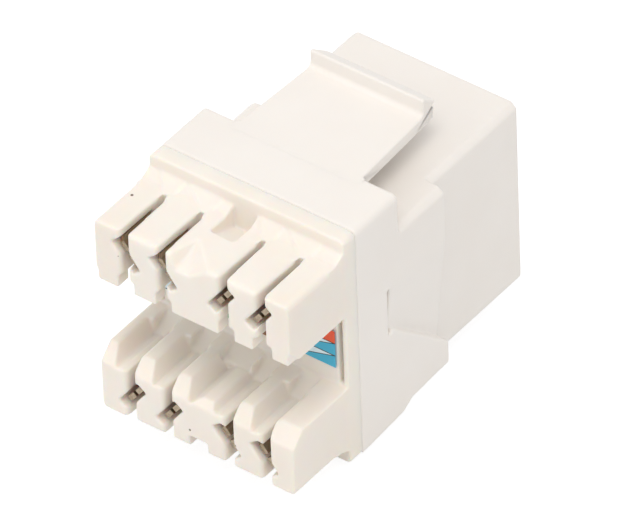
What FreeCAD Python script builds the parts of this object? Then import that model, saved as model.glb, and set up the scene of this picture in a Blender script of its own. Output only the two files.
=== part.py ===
"""Keystone jack: a snap-in RJ45 outlet with punch-down wire slots at its rear.

Units are millimetres. X runs across the jack and Z up, with the snap tongue on top, and the plug
port opens toward +Y. Each body is drawn with the port's mouth in the plane Y = 0 and the catch's
underside, the jack's lowest face, in the plane Z = 0. Each is then placed half a length forward, so
that the origin lies under the middle of the jack. All sizes are cells of the sheet "Sizes".
"""
import FreeCAD, Part
import os

import Sketcher
from FreeCAD import Placement, Rotation, Vector

SIZES = {
    # Front housing: the block that passes through the panel, with the fixed catch below it
    "block_half": 7.25,
    "block_height": 16.4,
    "catch_drop": 1.65,
    "catch_front": 8.95,
    "catch_rear": 13.4,
    "catch_nose": 0.4,
    "edge_round": 0.6,
    # Collar: the wider rear end, with shoulders that flare out of the block's sides
    "collar_half": 8.55,
    "collar_front": 15.85,
    "collar_bottom": 0.65,
    "collar_top": 21.2,
    "seam": 20.85,
    "shoulder_front": 10.45,
    "shoulder_chamfer": 0.45,
    "wing_low": 3.85,
    "wing_high": 9.7,
    "wing_step": 1.87,
    "wing_tail": 16.4,
    "wing_heel": 14.9,
    "wing_nose": 11.6,
    "hollow_rear": 17.1,
    "hollow_deep": 1.1,
    "collar_round": 0.5,
    "snap_slit_y": 17.35,
    "snap_slit_width": 0.25,
    "snap_slit_deep": 0.8,
    "snap_slit_low": 9.2,
    "snap_slit_high": 13.4,
    # Plug port with its stepped latch way
    "port_half": 5.95,
    "port_sill": 5.15,
    "port_high": 6.8,
    "port_depth": 12.6,
    "key_half": 3.1,
    "key_deep": 1.6,
    "notch_half": 1.7,
    "notch_deep": 0.9,
    # Bays behind the port
    "channel_side": 0.55,
    "channel_front": 1.6,
    "channel_room": 0.55,
    "carrier_side": 0.15,
    "carrier_lap": 0.4,
    "board_wall": 1.75,
    "board_floor": 1.95,
    "board_roof": 2.0,
    "board_front": 17.0,
    "board_thick": 1.6,
    "fit_gap": 0.1,
    "wall_lap": 0.2,
    # Snap tongue
    "tongue_root_half": 5.4,
    "tongue_tip_half": 4.9,
    "tongue_thick": 1.0,
    "lip_rear": 8.0,
    "lip_height": 1.45,
    "ramp_run": 1.7,
    "ramp_drop": 1.15,
    "nose_run": 0.6,
    "tongue_fillet": 0.5,
    "hinge_gap": 0.05,
    # Wiring block: flange, spigot and the two rows of fins
    "flange_thick": 1.4,
    "spigot_long": 2.1,
    "row_mid": 11.0,
    "row_inset": 0.05,
    "row_long": 6.5,
    "row_outer": 8.68,
    "row_high": 5.45,
    "row_nose": 1.2,
    "row_round": 0.4,
    "fin_outer_wide": 2.29,
    "slit_pitch": 3.28,
    "slit_shut_half": 0.23,
    "slit_open_half": 0.33,
    "slit_end": 0.13,
    "slit_root": 1.85,
    "mouth_round": 0.4,
    "lead_wide": 0.35,
    "lead_deep": 0.3,
    "ridge_slope_from": 1.8,
    "ridge_slope_to": 1.25,
    "ledge_deep": 1.3,
    "ledge_crest": 0.75,
    "ledge_swell": 0.15,
    "crease_left": 0.75,
    "crease_run": 0.55,
    "crease_deep": 1.4,
    "step_left": 0.25,
    "step_right": 1.3,
    "step_deep": 0.65,
    "edge_lead": 0.35,
    "ramp_rise": 1.4,
    "ramp_long": 1.55,
    "ramp_tip_wide": 1.5,
    "scoop_apex": 1.15,
    "scoop_long": 2.65,
    "scoop_deep": 1.35,
    "scoop_left": 2.0,
    "scoop_right": 1.9,
    "scoop_rise": 0.6,
    "scoop_fall": 2.1,
    "window_half": 1.05,
    "window_long": 2.75,
    "window_deep": 1.6,
    "window_shallow": 0.5,
    "groove_half": 0.8,
    "groove_deep": 1.0,
    "side_groove_x": 7.75,
    "side_groove_wide": 0.35,
    "side_groove_deep": 0.9,
    "side_groove_high": 3.1,
    # Contact terminals, one across each slit
    "blade_tilt": 53.0,
    "blade_shift": 0.16,
    "blade_below": 2.15,
    "slot_long": 2.85,
    "slot_wide": 0.95,
    "slot_deep": 3.9,
    "blade_wide": 2.6,
    "blade_thick": 0.4,
    "blade_end": 0.5,
    "fork_gap": 0.35,
    "fork_deep": 2.6,
    "tail_wide": 0.7,
    "tail_gap": 0.05,
    # Plug contacts and their carrier
    "spring_pitch": 1.02,
    "spring_thick": 0.35,
    "spring_bend_y": 2.7,
    "spring_bend": 0.45,
    "spring_slant_run": 8.2,
    "spring_slant_drop": 3.3,
    "shelf_thick": 0.55,
    "shelf_front": 3.3,
    # Wiring label between the rows
    "label_half": 7.6,
    "label_high": 3.35,
    "label_thick": 0.15,
}

DERIVED = {
    "roof": "catch_drop + block_height",
    "port_bottom": "catch_drop + port_sill",
    "port_top": "port_bottom + port_high",
    "key_bottom": "port_bottom - key_deep",
    "notch_bottom": "key_bottom - notch_deep",
    "shelf_top": "port_top + shelf_thick",
    "spring_bed": "shelf_top + fit_gap / 2",
    "channel_top": "spring_bed + spring_thick + channel_room",
    "channel_half": "4 * spring_pitch - spring_pitch / 2 + spring_thick / 2 + channel_side",
    "carrier_half": "port_half + carrier_side",
    "carrier_bottom": "notch_bottom + carrier_lap",
    "board_half": "collar_half - board_wall",
    "board_bottom": "collar_bottom + board_floor",
    "board_top": "collar_top - board_roof",
    "row_half": "collar_half - row_inset",
    "slit_outer": "row_half - fin_outer_wide - slit_shut_half",
    "slit_inner": "slit_outer - slit_pitch",
    "hinge_z": "collar_top - tongue_thick / 2",
    "tongue_under": "collar_top - tongue_thick",
    "flange_rear": "seam + flange_thick",
    "row_tip": "flange_rear + row_long",
    "slit_shut": "flange_rear + slit_root",
    "board_rear": "board_front + board_thick",
    "blade_high": "row_outer - blade_below",
    "blade_rear": "row_tip - blade_end",
    "slot_floor": "row_tip - slot_deep",
    "row_inner": "row_outer - row_high",
    "ledge_floor": "row_inner + ledge_deep",
    "carrier_rear": "board_front - fit_gap",
}

SIDES = (-1, 1)

doc = FreeCAD.newDocument("KeystoneJack")
sheet = doc.addObject("Spreadsheet::Sheet", "Sizes")
cells = {}


def fill_sheet():
    """Write every driving size and every derived size into the sheet, each with its alias."""
    row = 0
    for name, number in SIZES.items():
        row += 1
        sheet.set(f"A{row}", name)
        sheet.set(f"B{row}", str(number))
        sheet.setAlias(f"B{row}", name)
    for name, formula in DERIVED.items():
        row += 1
        sheet.set(f"A{row}", name)
        sheet.set(f"B{row}", "=" + formula)
        sheet.setAlias(f"B{row}", name)
    sheet.recompute()


def cell(formula):
    """Return the sheet address that holds a formula of the sizes, adding it when it is new."""
    if formula not in cells:
        address = f"D{len(cells) + 1}"
        sheet.set(address, "=" + formula)
        sheet.recompute()
        cells[formula] = address
    return cells[formula]


def number(formula):
    """Return the present value of a formula of the sizes."""
    return float(sheet.get(cell(formula)))


def bind(thing, prop, formula):
    """Tie one property of an object to a formula of the sizes."""
    thing.setExpression(prop, "Sizes." + cell(formula))


def mirrored(formula, side):
    """Return a formula for the right side (1) or its mirror image on the left (-1)."""
    return formula if side > 0 else f"-({formula})"


def new_body(label):
    """Add an empty body whose label names the piece."""
    body = doc.addObject("PartDesign::Body", label)
    body.Label = label
    return body


def outline(body, name, plane, offset, *loops):
    """Add a sketch of closed outlines on a plane of the body, moved along the plane's normal.

    Each corner is a pair of formulas, and each is tied to the sheet by its two distances.
    """
    sketch = body.newObject("Sketcher::SketchObject", name)
    support = next(f for f in body.Origin.OriginFeatures if f.Role == plane)
    sketch.AttachmentSupport = [(support, "")]
    sketch.MapMode = "FlatFace"
    bind(sketch, "AttachmentOffset.Base.z", offset)
    for corners in loops:
        points = [Vector(number(u), number(v), 0) for u, v in corners]
        first = sketch.GeometryCount
        for start, end in zip(points, points[1:] + points[:1]):
            sketch.addGeometry(Part.LineSegment(start, end), False)
        count = len(points)
        for index, (u, v) in enumerate(corners):
            edge = first + index
            following = first + (index + 1) % count
            sketch.addConstraint(Sketcher.Constraint("Coincident", edge, 2, following, 1))
            for kind, axis, formula in (("DistanceX", -2, u), ("DistanceY", -1, v)):
                value = number(formula)
                if abs(value) < 1e-9:
                    sketch.addConstraint(Sketcher.Constraint("PointOnObject", edge, 1, axis))
                else:
                    mark = sketch.addConstraint(Sketcher.Constraint(kind, edge, 1, value))
                    bind(sketch, f"Constraints[{mark}]", formula)
    return sketch


def pad(body, sketch, length, cut=False):
    """Extrude a sketch along its normal, as material or as a cut."""
    kind = "PartDesign::Pocket" if cut else "PartDesign::Pad"
    feature = body.newObject(kind, sketch.Name + ("Cut" if cut else "Pad"))
    feature.Profile = sketch
    bind(feature, "Length", length)
    feature.Reversed = cut
    return feature


def box(body, name, across, along, up, cut=False):
    """Add or cut a block between two X, two Y and two Z formulas."""
    kind = "PartDesign::SubtractiveBox" if cut else "PartDesign::AdditiveBox"
    feature = body.newObject(kind, name)
    spans = (("Length", "x", across), ("Width", "y", along), ("Height", "z", up))
    for side, letter, (low, high) in spans:
        bind(feature, side, f"({high}) - ({low})")
        bind(feature, f"Placement.Base.{letter}", low)
    return feature


def cross_rod(body, name, radius, half, y, z, cut=False):
    """Add or cut a round rod that lies across the jack, centred on X = 0."""
    kind = "PartDesign::SubtractiveCylinder" if cut else "PartDesign::AdditiveCylinder"
    rod = body.newObject(kind, name)
    bind(rod, "Radius", radius)
    bind(rod, "Height", f"2 * ({half})")
    rod.Placement = Placement(Vector(), Rotation(Vector(0, 1, 0), 90))
    bind(rod, "Placement.Base.x", f"-({half})")
    bind(rod, "Placement.Base.y", y)
    bind(rod, "Placement.Base.z", z)
    return rod


def tilted_hole(body, name, side, level, slit, long, wide, y_from, y_to):
    """Cut a rectangular hole along Y at a terminal's place and tilt."""
    hole = body.newObject("PartDesign::SubtractiveBox", name)
    bind(hole, "Length", long)
    bind(hole, "Width", f"({y_to}) - ({y_from})")
    bind(hole, "Height", wide)
    angle = -side * level * number("blade_tilt")
    turn = Rotation(Vector(0, 1, 0), angle)
    corner = turn.multVec(Vector(-number(long) / 2, 0, -number(wide) / 2))
    centre = terminal_centre(side, level, slit)
    hole.Placement = Placement(Vector(centre.x + corner.x, number(y_from), centre.z + corner.z), turn)
    return hole


def terminal_centre(side, level, slit):
    """Return where a terminal's middle line runs, for a side, a row and a slit."""
    x = side * (number(slit) - number("blade_shift"))
    z = number("row_mid") + level * number("blade_high")
    return Vector(x, 0, z)


def dress(body, kind, name, size, test):
    """Fillet or chamfer those edges of the body whose two ends and middle pass a test."""
    doc.recompute()
    base = body.Tip
    names = []
    for index, edge in enumerate(base.Shape.Edges, 1):
        middle = edge.valueAt((edge.FirstParameter + edge.LastParameter) / 2)
        ends = [vertex.Point for vertex in edge.Vertexes]
        if len(ends) == 2 and all(test(point) for point in ends + [middle]):
            names.append(f"Edge{index}")
    if not names:
        raise RuntimeError(f"{name} finds no edge")
    feature = body.newObject("PartDesign::" + kind, name)
    feature.Base = (base, names)
    bind(feature, "Radius" if kind == "Fillet" else "Size", size)
    return feature


def near(value, formula):
    """Tell whether a coordinate lies at a formula's value."""
    return abs(value - number(formula)) < 1e-4


def make_housing():
    """Front housing: block, fixed catch, flared shoulders, collar, plug port and rear bays."""
    body = new_body("jack_housing")
    side_view = outline(
        body, "BlockSide", "YZ_Plane", "-block_half",
        [("0", "catch_drop"), ("0", "roof"), ("-seam", "roof"), ("-seam", "collar_bottom"),
         ("-collar_front", "collar_bottom"), ("-catch_rear", "0"),
         ("-catch_front - catch_nose", "0"), ("-catch_front", "catch_nose"),
         ("-catch_front", "catch_drop")])
    pad(body, side_view, "2 * block_half")
    dress(body, "Fillet", "BlockRound", "edge_round",
          lambda p: near(abs(p.x), "block_half") and near(p.z, "catch_drop"))
    dress(body, "Chamfer", "BlockChamfer", "shoulder_chamfer",
          lambda p: near(abs(p.x), "block_half") and near(p.z, "roof"))
    make_wings(body)
    dress(body, "Chamfer", "ShoulderChamfer", "shoulder_chamfer",
          lambda p: near(abs(p.x), "collar_half") and near(p.z, "roof"))
    box(body, "Collar", ("-collar_half", "collar_half"), ("-seam", "-collar_front"),
        ("roof - 2 * shoulder_chamfer", "collar_top"))
    dress(body, "Fillet", "CollarRound", "collar_round",
          lambda p: near(abs(p.x), "collar_half")
          and (near(p.z, "collar_top") or near(p.z, "collar_bottom")))
    port = outline(
        body, "Port", "XZ_Plane", "0",
        [("-port_half", "port_top"), ("port_half", "port_top"), ("port_half", "port_bottom"),
         ("key_half", "port_bottom"), ("key_half", "key_bottom"), ("notch_half", "key_bottom"),
         ("notch_half", "notch_bottom"), ("-notch_half", "notch_bottom"),
         ("-notch_half", "key_bottom"), ("-key_half", "key_bottom"),
         ("-key_half", "port_bottom"), ("-port_half", "port_bottom")])
    pad(body, port, "port_depth", cut=True)
    box(body, "SpringChannel", ("-channel_half", "channel_half"),
        ("-port_depth", "-channel_front"), ("port_top - fit_gap", "channel_top"), cut=True)
    box(body, "CarrierBay", ("-carrier_half - fit_gap", "carrier_half + fit_gap"),
        ("-board_front", "-port_depth"), ("carrier_bottom - fit_gap", "channel_top"), cut=True)
    box(body, "BoardBay", ("-board_half - fit_gap", "board_half + fit_gap"),
        ("-seam", "-board_front"), ("board_bottom - fit_gap", "board_top + fit_gap"), cut=True)
    for side in SIDES:
        inner = mirrored("collar_half - snap_slit_deep", side)
        outer = mirrored("collar_half + fit_gap", side)
        box(body, "SnapSlit", (inner, outer) if side > 0 else (outer, inner),
            ("-snap_slit_y", "-snap_slit_y + snap_slit_width"),
            ("snap_slit_low", "snap_slit_high"), cut=True)
    seat = "tongue_thick / 2 + hinge_gap"
    cross_rod(body, "HingeSeat", seat, "tongue_root_half + hinge_gap", "-collar_front", "hinge_z",
              cut=True)
    box(body, "HingeMouth", ("-tongue_root_half - hinge_gap", "tongue_root_half + hinge_gap"),
        (f"-collar_front - ({seat})", "-collar_front + hinge_gap"),
        ("hinge_z", "collar_top + hinge_gap"), cut=True)
    return body


def make_wings(body):
    """Widen the sides behind the shoulders, each with a slanted hollow above its lower wing."""
    box(body, "Shoulders", ("-collar_half", "collar_half"), ("-seam", "-shoulder_front"),
        ("wing_low", "roof"))
    hollows = outline(
        body, "HollowEnds", "XZ_Plane", "shoulder_front - fit_gap",
        *[[(mirrored("collar_half", side), "snap_slit_high"),
           (mirrored("collar_half - hollow_deep", side), "wing_low"),
           (mirrored("collar_half - hollow_deep", side), "wing_low - fit_gap"),
           (mirrored("collar_half + fit_gap", side), "wing_low - fit_gap"),
           (mirrored("collar_half + fit_gap", side), "snap_slit_high")] for side in SIDES])
    pad(body, hollows, "hollow_rear - shoulder_front + fit_gap", cut=True)
    for side in SIDES:
        start = "-collar_half" if side < 0 else "block_half - wall_lap"
        wing = outline(
            body, "WingSide", "YZ_Plane", start,
            [("-seam", "collar_bottom"), ("-collar_front", "collar_bottom + catch_nose"),
             ("-wing_heel", "catch_drop"), ("-wing_nose", "wing_step"),
             ("-shoulder_front", "wing_step"), ("-shoulder_front", "wing_low"),
             ("-hollow_rear", "wing_high"), ("-seam", "wing_high")])
        pad(body, wing, "collar_half - block_half + wall_lap")


def make_tongue():
    """Snap tongue: a springy plate with a sharp lip and a lead-in ramp at its free end."""
    body = new_body("latch_tongue")
    side_view = outline(
        body, "TongueSide", "YZ_Plane", "-tongue_root_half",
        [("-collar_front", "collar_top"), ("-lip_rear - hinge_gap", "collar_top"),
         ("-lip_rear", "collar_top + lip_height"),
         ("-lip_rear + ramp_run", "collar_top + lip_height - ramp_drop"),
         ("-lip_rear + ramp_run", "tongue_under + nose_run"),
         ("-lip_rear + ramp_run - nose_run", "tongue_under"), ("-collar_front", "tongue_under")])
    pad(body, side_view, "2 * tongue_root_half")
    cross_rod(body, "HingeRoll", "tongue_thick / 2", "tongue_root_half", "-collar_front", "hinge_z")
    dress(body, "Fillet", "LipFillet", "tongue_fillet",
          lambda p: near(p.y, "-lip_rear - hinge_gap") and near(p.z, "collar_top"))
    tip = "-lip_rear + ramp_run + hinge_gap"
    taper = outline(
        body, "TonguePlan", "XY_Plane", "tongue_under - hinge_gap",
        *[[(mirrored("tongue_root_half", side), "-collar_front"),
           (mirrored("tongue_tip_half", side), tip),
           (mirrored("tongue_root_half + fit_gap", side), tip),
           (mirrored("tongue_root_half + fit_gap", side), "-collar_front")] for side in SIDES])
    pad(body, taper, "tongue_thick + lip_height + 2 * hinge_gap", cut=True)
    return body


def make_wiring_block():
    """Rear block: flange, spigot and two rows of five fins, with a slit for each wire."""
    body = new_body("idc_block")
    box(body, "Flange", ("-collar_half", "collar_half"), ("-flange_rear", "-seam"),
        ("collar_bottom", "collar_top"))
    dress(body, "Fillet", "FlangeRound", "collar_round",
          lambda p: near(abs(p.x), "collar_half")
          and (near(p.z, "collar_top") or near(p.z, "collar_bottom")))
    box(body, "Spigot", ("-board_half", "board_half"), ("-seam", "-seam + spigot_long"),
        ("board_bottom", "board_top"))
    rows = outline(
        body, "RowsSide", "YZ_Plane", "-row_half",
        *[[("-flange_rear", f"row_mid + {level} * row_outer"),
           ("-row_tip", f"row_mid + {level} * row_outer"),
           ("-row_tip", f"row_mid + {level} * (row_inner + row_nose)"),
           ("-row_tip + row_nose", f"row_mid + {level} * row_inner"),
           ("-flange_rear", f"row_mid + {level} * row_inner")] for level in SIDES])
    pad(body, rows, "2 * row_half")
    dress(body, "Fillet", "RowRound", "row_round",
          lambda p: near(abs(p.x), "row_half") and p.y < -number("flange_rear") + 1e-4
          and abs(abs(p.z - number("row_mid")) - number("row_outer")) < 1e-4)
    add_ramps(body)
    cut_slits(body)
    cut_leads(body)
    cut_inner_faces(body)
    cut_centre_fins(body)
    for side in SIDES:
        for level in SIDES:
            for slit in ("slit_inner", "slit_outer"):
                tilted_hole(body, "BladeSlot", side, level, slit, "slot_long", "slot_wide",
                            "-row_tip - fit_gap", "-slot_floor")
                tilted_hole(body, "TailHole", side, level, slit, "tail_wide + 2 * tail_gap",
                            "blade_thick + 2 * tail_gap", "-slot_floor - fit_gap",
                            "-seam + spigot_long + fit_gap")
    return body


def slit_axes():
    """List the four slit axes from left to right, each as a side and a formula."""
    return [(-1, "slit_outer"), (-1, "slit_inner"), (1, "slit_inner"), (1, "slit_outer")]


def add_ramps(body):
    """Add a ramp at the root of each fin's outer face, narrower toward its rear end."""
    ramps = outline(
        body, "RampSide", "YZ_Plane", "-row_half",
        *[[("-flange_rear + wall_lap", f"row_mid + {level} * (row_outer - wall_lap)"),
           ("-flange_rear + wall_lap", f"row_mid + {level} * (row_outer + ramp_rise)"),
           ("-flange_rear", f"row_mid + {level} * (row_outer + ramp_rise)"),
           ("-flange_rear - ramp_long", f"row_mid + {level} * row_outer"),
           ("-flange_rear - ramp_long", f"row_mid + {level} * (row_outer - wall_lap)")]
          for level in SIDES])
    pad(body, ramps, "2 * row_half")
    half = "(slit_pitch - ramp_tip_wide) / 2"
    for level in SIDES:
        base = "row_mid + row_outer" if level > 0 else "row_mid - row_outer - ramp_rise - fit_gap"
        gaps = outline(
            body, "RampGaps", "XY_Plane", base,
            *[[(f"{side} * {slit}", "-flange_rear"),
               (f"{side} * {slit} + {half}", "-flange_rear - ramp_long - fit_gap"),
               (f"{side} * {slit} - {half}", "-flange_rear - ramp_long - fit_gap")]
              for side, slit in slit_axes()])
        pad(body, gaps, "ramp_rise + fit_gap", cut=True)


def cut_slits(body):
    """Cut the four wire slits: round at the closed end, a little wider at the open rear end."""
    plan = outline(
        body, "SlitPlan", "XY_Plane", "row_mid - row_outer - fit_gap",
        *[[(f"{side} * {slit} - slit_shut_half + slit_end", "-slit_shut"),
           (f"{side} * {slit} + slit_shut_half - slit_end", "-slit_shut"),
           (f"{side} * {slit} + slit_shut_half", "-slit_shut - slit_end"),
           (f"{side} * {slit} + slit_open_half", "-row_tip - fit_gap"),
           (f"{side} * {slit} - slit_open_half", "-row_tip - fit_gap"),
           (f"{side} * {slit} - slit_shut_half", "-slit_shut - slit_end")]
          for side, slit in slit_axes()])
    pad(body, plan, "2 * (row_outer + fit_gap)", cut=True)
    dress(body, "Fillet", "MouthRound", "mouth_round",
          lambda p: near(p.y, "-row_tip") and abs(p.x) < number("slit_outer") + 1
          and abs(p.z - number("row_mid")) > number("row_inner + row_nose") - 1e-4)


def cut_leads(body):
    """Bevel each slit's wall on the side toward the jack's middle, at the fin's outer face."""
    loops = []
    for level in SIDES:
        for side, slit in slit_axes():
            far = f"{side} * ({slit} - slit_open_half - lead_wide)"
            loops.append([
                (far, f"row_mid + {level} * (row_outer + fit_gap)"),
                (far, f"row_mid + {level} * row_outer"),
                (f"{side} * {slit}", f"row_mid + {level} * (row_outer - lead_deep)"),
                (f"{side} * {slit}", f"row_mid + {level} * (row_outer + fit_gap)")])
    ends = outline(body, "LeadEnds", "XZ_Plane", "slit_shut + slit_end", *loops)
    pad(body, ends, "row_long", cut=True)


def cut_inner_faces(body):
    """Cut the lowered ledge left of each slit and the steps of each centre fin."""
    ledges, steps = [], []
    for level in SIDES:
        def up(formula):
            return f"row_mid + {level} * ({formula})"
        for side, slit in slit_axes():
            axis = f"{side} * {slit}"
            ledges.append([
                (f"{axis} - ridge_slope_from", up("row_inner - fit_gap")),
                (f"{axis} - ridge_slope_from", up("row_inner")),
                (f"{axis} - ridge_slope_to", up("ledge_floor")),
                (f"{axis} - ledge_crest", up("ledge_floor - ledge_swell")),
                (f"{axis} - slit_shut_half", up("ledge_floor")),
                (f"{axis} + slit_shut_half", up("ledge_floor")),
                (f"{axis} + slit_shut_half", up("row_inner + edge_lead")),
                (f"{axis} + slit_shut_half + edge_lead", up("row_inner")),
                (f"{axis} + slit_shut_half + edge_lead", up("row_inner - fit_gap"))])
        steps.append([
            ("-crease_left - crease_run", up("row_inner - fit_gap")),
            ("-crease_left - crease_run", up("row_inner")),
            ("-crease_left", up("row_inner + crease_deep")),
            ("step_left", up("row_inner + step_deep")),
            ("step_right", up("row_inner + step_deep")),
            ("step_right", up("row_inner - fit_gap"))])
    for name, loops in (("LedgeEnds", ledges), ("StepEnds", steps)):
        ends = outline(body, name, "XZ_Plane", "slit_shut", *loops)
        pad(body, ends, "row_long", cut=True)


def cut_centre_fins(body):
    """Cut the window and the scoop of the upper centre fin and the grooves of the lower ones."""
    top = "row_mid + row_outer"
    window = outline(
        body, "WindowSide", "YZ_Plane", "-window_half",
        [("-flange_rear", f"{top} + ramp_rise + fit_gap"),
         ("-flange_rear", f"{top} - window_deep"),
         ("-flange_rear - window_long", f"{top} - window_shallow"),
         ("-flange_rear - window_long", f"{top} + ramp_rise + fit_gap")])
    pad(body, window, "2 * window_half", cut=True)
    apex = outline(
        body, "ScoopApex", "XZ_Plane", "row_tip - scoop_long",
        [("-scoop_apex - tail_gap", f"{top} + fit_gap"), ("-scoop_apex - tail_gap / 2", top),
         ("-scoop_apex + tail_gap / 2", top), ("-scoop_apex + tail_gap", f"{top} + fit_gap")])
    rear = outline(
        body, "ScoopRear", "XZ_Plane", "row_tip + fit_gap",
        [("-scoop_left", f"{top} + fit_gap"), ("-scoop_left + scoop_rise", f"{top} - scoop_deep"),
         ("scoop_right - scoop_fall", f"{top} - scoop_deep"),
         ("scoop_right", f"{top} + fit_gap")])
    scoop = body.newObject("PartDesign::SubtractiveLoft", "Scoop")
    scoop.Profile = apex
    scoop.Sections = [rear]
    scoop.Ruled = True
    box(body, "LowerGroove", ("-groove_half", "groove_half"),
        ("-row_tip - fit_gap", "-flange_rear - fit_gap"),
        ("row_mid - row_outer - fit_gap", "row_mid - row_outer + groove_deep"), cut=True)
    for side in SIDES:
        inner = mirrored("side_groove_x", side)
        outer = mirrored("side_groove_x + side_groove_wide", side)
        box(body, "SideGroove", (inner, outer) if side > 0 else (outer, inner),
            ("-flange_rear - fit_gap", "-flange_rear + side_groove_deep"),
            ("row_mid - side_groove_high", "row_mid + side_groove_high"), cut=True)


def make_board():
    """Circuit board that joins the plug contacts to the wire terminals."""
    body = new_body("circuit_board")
    box(body, "Board", ("-board_half", "board_half"), ("-board_rear", "-board_front"),
        ("board_bottom", "board_top"))
    for side in SIDES:
        for level in SIDES:
            for slit in ("slit_inner", "slit_outer"):
                tilted_hole(body, "TailHole", side, level, slit, "tail_wide + 2 * tail_gap",
                            "blade_thick + 2 * tail_gap", "-board_rear - fit_gap",
                            "-board_front + fit_gap")
    for place in range(8):
        middle = f"({place} - 3.5) * spring_pitch"
        box(body, "SpringHole",
            (f"{middle} - spring_thick / 2 - tail_gap", f"{middle} + spring_thick / 2 + tail_gap"),
            ("-board_rear - fit_gap", "-board_front + fit_gap"),
            ("spring_bed - tail_gap", "spring_bed + spring_thick + tail_gap"), cut=True)
    return body


def make_carrier():
    """Carrier: closes the port's rear end and holds the eight plug contacts on its shelf."""
    body = new_body("contact_carrier")
    box(body, "Wall", ("-carrier_half", "carrier_half"), ("-carrier_rear", "-port_depth"),
        ("carrier_bottom", "shelf_top"))
    box(body, "Shelf", ("-channel_half + fit_gap", "channel_half - fit_gap"),
        ("-port_depth", "-shelf_front"), ("shelf_top - shelf_thick", "shelf_top"))
    return body


def make_spring(place):
    """One plug contact: a flat run on the shelf, a bend round its nose and a slanted beam."""
    body = new_body(f"spring_contact_{place + 1}")
    bottom = "spring_bed"
    top = "spring_bed + spring_thick"
    nose = "-spring_bend_y"
    turn = "spring_bed - 2 * spring_bend"
    end_y = "-spring_bend_y - spring_slant_run"
    end_z = "spring_bed - 2 * spring_bend - spring_slant_drop"
    middle = f"({place} - 3.5) * spring_pitch"
    side_view = outline(
        body, "SpringSide", "YZ_Plane", f"{middle} - spring_thick / 2",
        [("-board_rear", bottom), ("-board_rear", top), (f"{nose} + spring_thick", top),
         (f"{nose} + spring_bend + spring_thick", f"{bottom} - spring_bend / 2"),
         (f"{nose} + spring_bend + spring_thick", f"{turn} + spring_bend / 2"),
         (f"{nose}", f"{turn} - spring_thick"), (end_y, f"{end_z} - spring_thick"), (end_y, end_z),
         (f"{nose} - spring_bend / 3", turn), (f"{nose} + spring_bend", f"{turn} + spring_bend / 2"),
         (f"{nose} + spring_bend", f"{bottom} - spring_bend / 2"),
         (f"{nose} + spring_bend / 2", bottom)])
    pad(body, side_view, "spring_thick")
    return body


def make_terminal(index, side, level, slit):
    """One wire terminal: a two-tined fork across its slit, with a tail into the board."""
    body = new_body(f"idc_terminal_{index}")
    shoulder = "-slot_floor - fit_gap"
    half = "blade_wide / 2"
    plan = outline(
        body, "ForkPlan", "XY_Plane", "-blade_thick / 2",
        [("-tail_wide / 2", "-board_front"), ("tail_wide / 2", "-board_front"),
         ("tail_wide / 2", shoulder), (half, shoulder), (half, "-blade_rear + fork_gap"),
         (f"{half} - fork_gap", "-blade_rear"), ("fork_gap / 2", "-blade_rear"),
         ("fork_gap / 2", "-blade_rear + fork_deep"), ("-fork_gap / 2", "-blade_rear + fork_deep"),
         ("-fork_gap / 2", "-blade_rear"), (f"-{half} + fork_gap", "-blade_rear"),
         (f"-{half}", "-blade_rear + fork_gap"), (f"-{half}", shoulder),
         ("-tail_wide / 2", shoulder)])
    pad(body, plan, "blade_thick")
    turn = Rotation(Vector(0, 1, 0), -side * level * number("blade_tilt"))
    body.Placement = Placement(terminal_centre(side, level, slit), turn)
    return body


def make_label():
    """Printed wiring label on the flange, between the two rows."""
    body = new_body("wiring_label")
    box(body, "Card", ("-label_half", "label_half"),
        ("-flange_rear - label_thick", "-flange_rear"),
        ("row_mid - label_high / 2", "row_mid + label_high / 2"))
    return body


def main():
    """Build every piece, test it and write one STEP file for each."""
    fill_sheet()
    pieces = [make_housing(), make_tongue(), make_wiring_block(), make_board(), make_carrier()]
    pieces += [make_spring(place) for place in range(8)]
    index = 0
    for level in (1, -1):
        for side, slit in ((-1, "slit_outer"), (-1, "slit_inner"), (1, "slit_inner"),
                           (1, "slit_outer")):
            index += 1
            pieces.append(make_terminal(index, side, level, slit))
    pieces.append(make_label())
    for piece in pieces:
        bind(piece, "Placement.Base.y", "row_tip / 2")
    doc.recompute()
    for thing in doc.Objects:
        if "Invalid" in thing.State or "Error" in thing.State:
            raise RuntimeError(f"{thing.Label} failed: {thing.State}")
    os.makedirs("parts", exist_ok=True)
    for piece in pieces:
        shape = piece.Shape
        if shape.isNull() or not shape.isValid() or len(shape.Solids) != 1:
            raise RuntimeError(f"{piece.Label} is not one valid solid")
        print(f"{piece.Label}: {shape.Volume:.2f} mm3, {len(shape.Faces)} faces")
        shape.exportStep(f"parts/{piece.Label}.step")


main()
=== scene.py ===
import logging
import math
from dataclasses import dataclass, field
from enum import Enum

import bmesh
import bpy
import numpy as np
from mathutils import Matrix, Vector


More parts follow.
